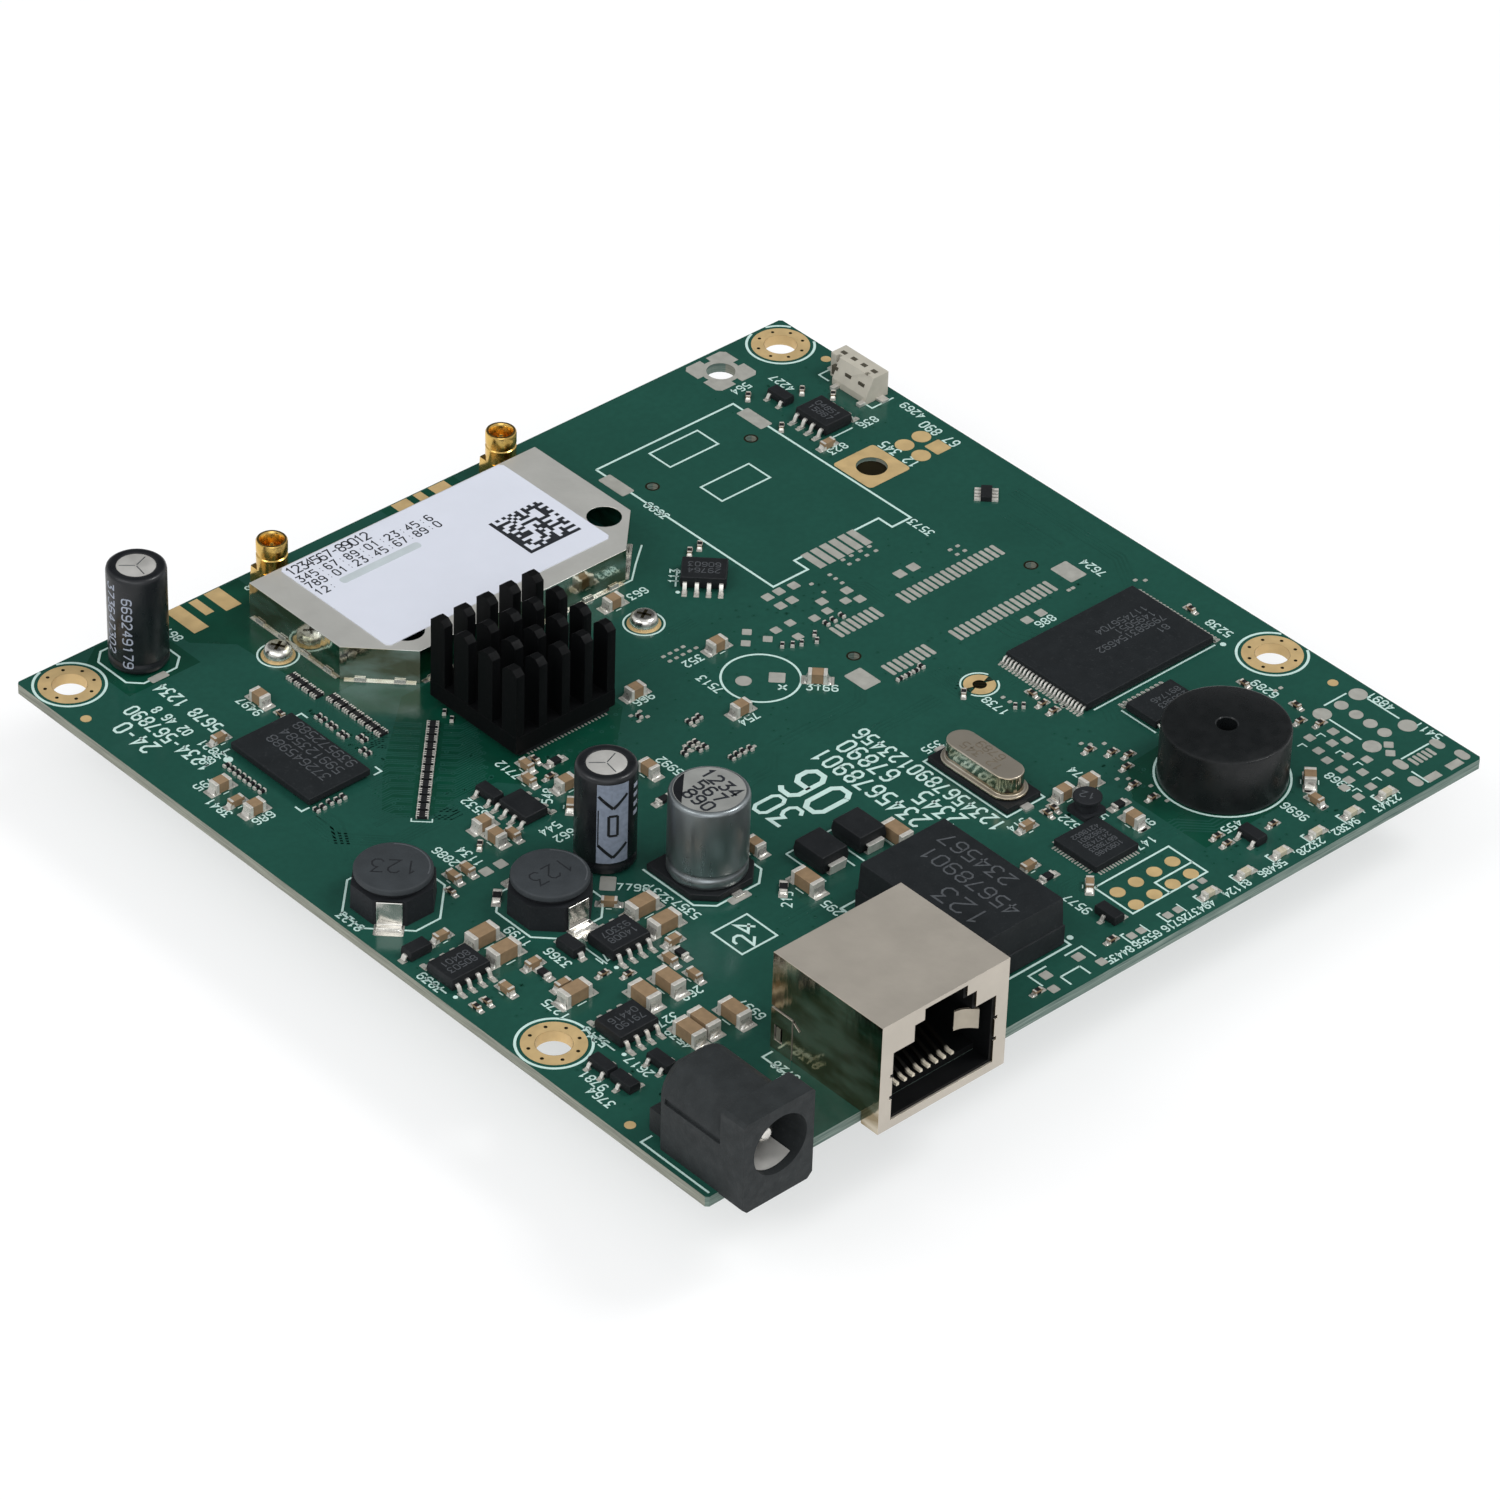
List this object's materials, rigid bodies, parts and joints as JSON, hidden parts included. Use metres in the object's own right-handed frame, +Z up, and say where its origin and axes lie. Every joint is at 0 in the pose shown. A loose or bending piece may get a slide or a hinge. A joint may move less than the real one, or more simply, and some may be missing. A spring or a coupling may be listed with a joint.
{
  "type": "wireless router board",
  "caption": "Square router circuit board with network jack, power jack, shielded radio, finned processor heatsink and power parts.",
  "frame": {"origin": "middle of the four mounting holes, on the underside of the board", "axes": "+Z up away from the component side; -Y toward the edge that carries the network and power jacks; +X to the right seen from that edge"},
  "size_m": [0.1054, 0.1088, 0.0146],
  "materials": {
    "solder_mask_board": "green solder mask with pale print, gold pads and a pale laminate edge",
    "tinned_sheet": "tin-plated sheet",
    "black_moulding": "matte black moulding",
    "gold_plate": "gold-plated contact",
    "nickel_plate": "nickel-plated metal",
    "tinned_lead": "tinned lead or solder",
    "nickel_sheet": "nickel-silver sheet, matte top and mirror-like walls",
    "paper_label": "printed label, bluish white",
    "chip_moulding": "black chip moulding with faint grey marks",
    "thermal_pad": "soft thermal tape",
    "black_anodised": "black anodised aluminium",
    "ferrite": "dark grey ferrite and resin",
    "bare_aluminium": "drawn aluminium can",
    "sleeve_film": "black shrink sleeve with a grey stripe",
    "brass_plate": "gold-plated brass shell",
    "white_insulator": "white insulator",
    "steel_screw": "zinc-plated steel",
    "beige_moulding": "natural beige moulding",
    "ceramic": "tan-brown ceramic",
    "resistor_film": "black resistor coat on white ceramic",
    "led_resin": "pale clear resin"
  },
  "bodies": {
    "root": {"board": "solder_mask_board", "network_jack_shield": "tinned_sheet", "network_jack_housing": "black_moulding", "network_jack_contacts": "gold_plate", "power_jack_housing": "black_moulding", "power_jack_pin": "nickel_plate", "power_jack_spring": "nickel_plate", "power_jack_tabs": "tinned_lead", "shield_can": "nickel_sheet", "can_label": "paper_label", "radio_chip": "chip_moulding", "processor": "chip_moulding", "thermal_tape": "thermal_pad", "heatsink": "black_anodised", "memory_chip": "chip_moulding", "flash_chip_body": "chip_moulding", "flash_chip_leads": "tinned_lead", "serial_chip_body": "chip_moulding", "serial_chip_leads": "tinned_lead", "small_outline_bodies": "chip_moulding", "small_outline_leads": "tinned_lead", "ethernet_chip": "chip_moulding", "magnetics_body": "chip_moulding", "magnetics_leads": "tinned_lead", "buzzer": "black_moulding", "buzzer_pins": "tinned_lead", "crystal_base": "black_moulding", "crystal_can": "nickel_plate", "crystal_tabs": "tinned_lead", "diode_bodies": "chip_moulding", "diode_leads": "tinned_lead", "small_signal_bodies": "chip_moulding", "small_signal_leads": "tinned_lead", "power_inductor_cores": "ferrite", "power_inductor_straps": "tinned_lead", "small_inductor": "ferrite", "radial_capacitor_cans": "bare_aluminium", "radial_capacitor_sleeves": "sleeve_film", "radial_capacitor_leads": "tinned_lead", "surface_capacitor_base": "black_moulding", "surface_capacitor_can": "bare_aluminium", "surface_capacitor_feet": "tinned_lead", "coax_socket_shells": "brass_plate", "coax_socket_insulators": "white_insulator", "coax_socket_pins": "gold_plate", "screws": "steel_screw", "nuts": "steel_screw", "side_connector_housing": "beige_moulding", "side_connector_feet": "tinned_lead", "chip_capacitor_bodies": "ceramic", "chip_capacitor_ends": "tinned_lead", "chip_resistor_bodies": "resistor_film", "chip_resistor_ends": "tinned_lead", "small_chip_parts": "ceramic", "resistor_arrays": "resistor_film", "led_bodies": "led_resin", "led_ends": "tinned_lead"}
  },
  "joints": []
}
